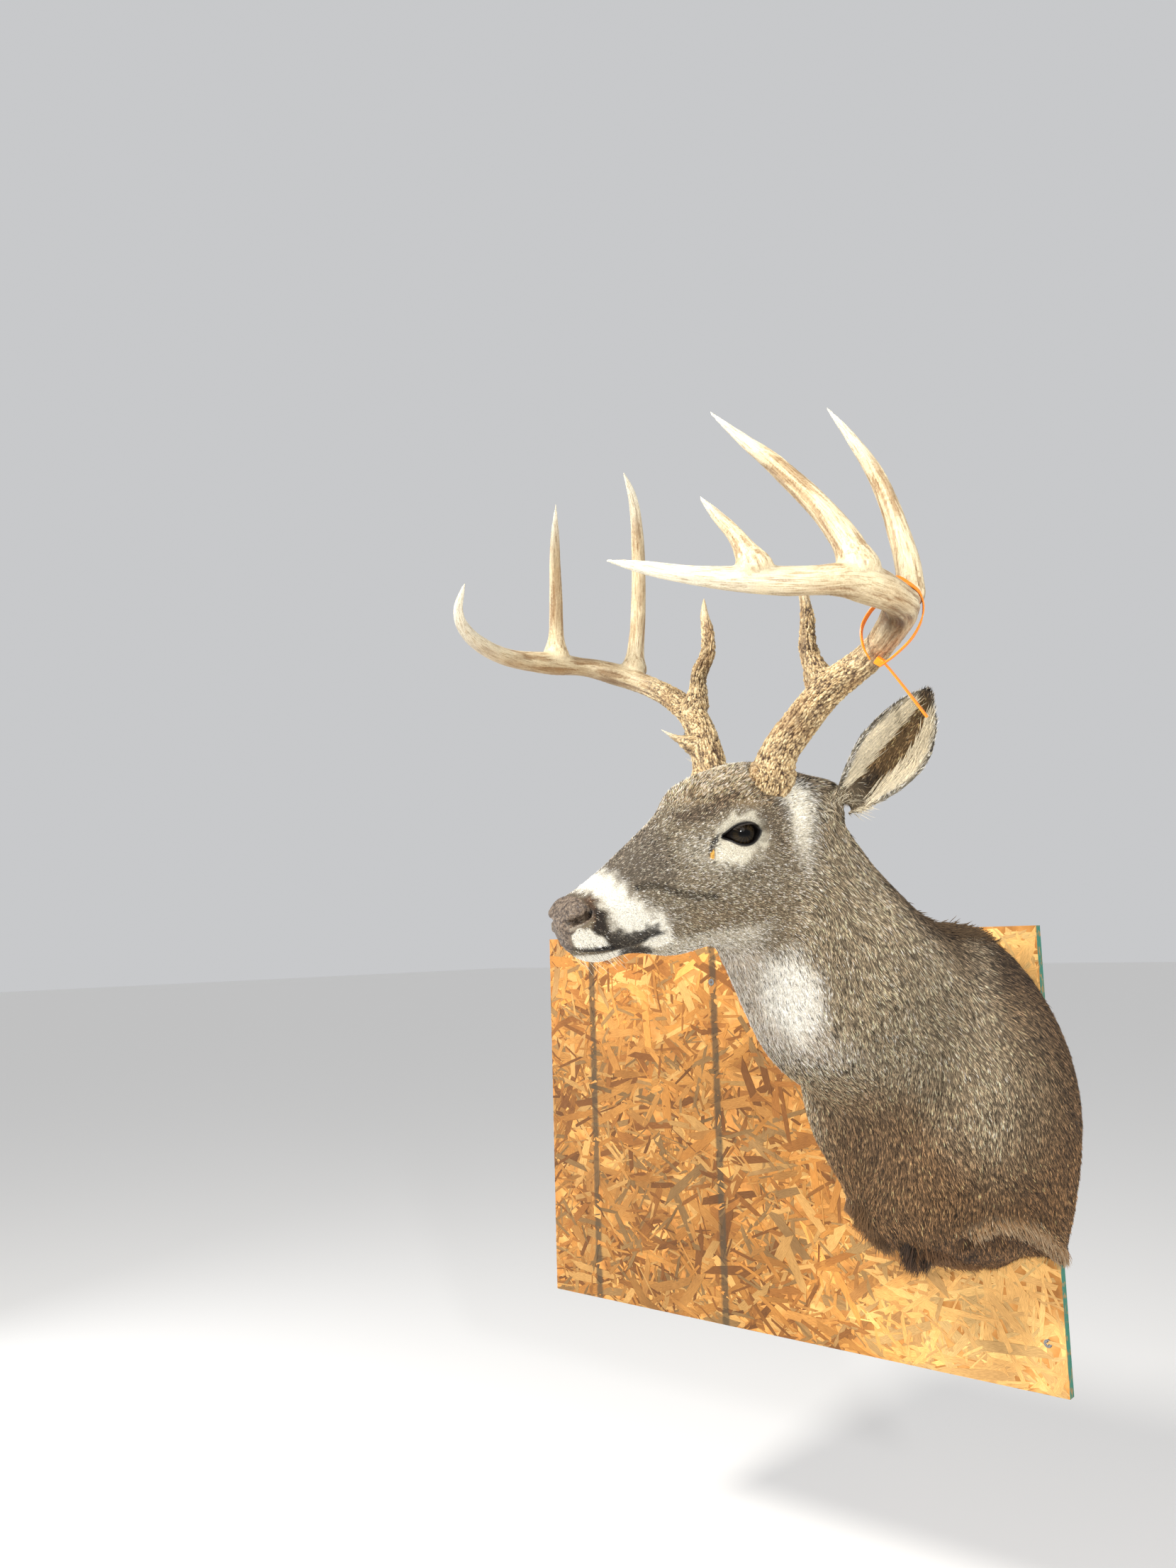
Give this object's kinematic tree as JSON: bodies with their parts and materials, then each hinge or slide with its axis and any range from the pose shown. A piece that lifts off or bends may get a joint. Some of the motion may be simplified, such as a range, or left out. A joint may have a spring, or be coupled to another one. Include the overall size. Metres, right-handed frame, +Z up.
{
  "type": "whitetail buck shoulder mount",
  "caption": "Life-size shoulder mount of a whitetail buck with its antlers, head turned a little to its right, fixed to a section of strand board that hangs flat on a wall.",
  "frame": {"origin": "centre of the back face of the board, in the plane that lies on the wall", "axes": "+Z up, +Y into the wall, +X to the buck's left; the trunk faces -Y and the head is turned towards -X"},
  "size_m": [0.7588, 0.5758, 0.9801],
  "materials": {
    "coat": "short grey-brown winter hair with white markings",
    "antler": "dry bone, knobbly tan below and smooth ivory above",
    "eye": "polished dark brown",
    "tie_plastic": "orange nylon",
    "form_wood": "bare plywood",
    "strand_board": "pressed wood strands",
    "screw_steel": "dull grey screw"
  },
  "bodies": {
    "root": {"head": "coat", "neck": "coat", "trunk": "coat", "ear_left": "coat", "ear_right": "coat", "antler_left_beam_lower": "antler", "antler_left_beam_middle": "antler", "antler_left_beam_outer": "antler", "antler_left_brow": "antler", "antler_left_second": "antler", "antler_left_third": "antler", "antler_left_fourth": "antler", "antler_right_beam_lower": "antler", "antler_right_beam_middle": "antler", "antler_right_beam_outer": "antler", "antler_right_brow": "antler", "antler_right_second": "antler", "antler_right_third": "antler", "antler_right_sticker": "antler", "eye_left": "eye", "eye_right": "eye", "cable_tie_loop": "tie_plastic", "cable_tie_tail": "tie_plastic", "cable_tie_lock": "tie_plastic", "form_back": "form_wood", "board": "strand_board", "screw_upper": "screw_steel", "screw_lower": "screw_steel"}
  },
  "joints": []
}
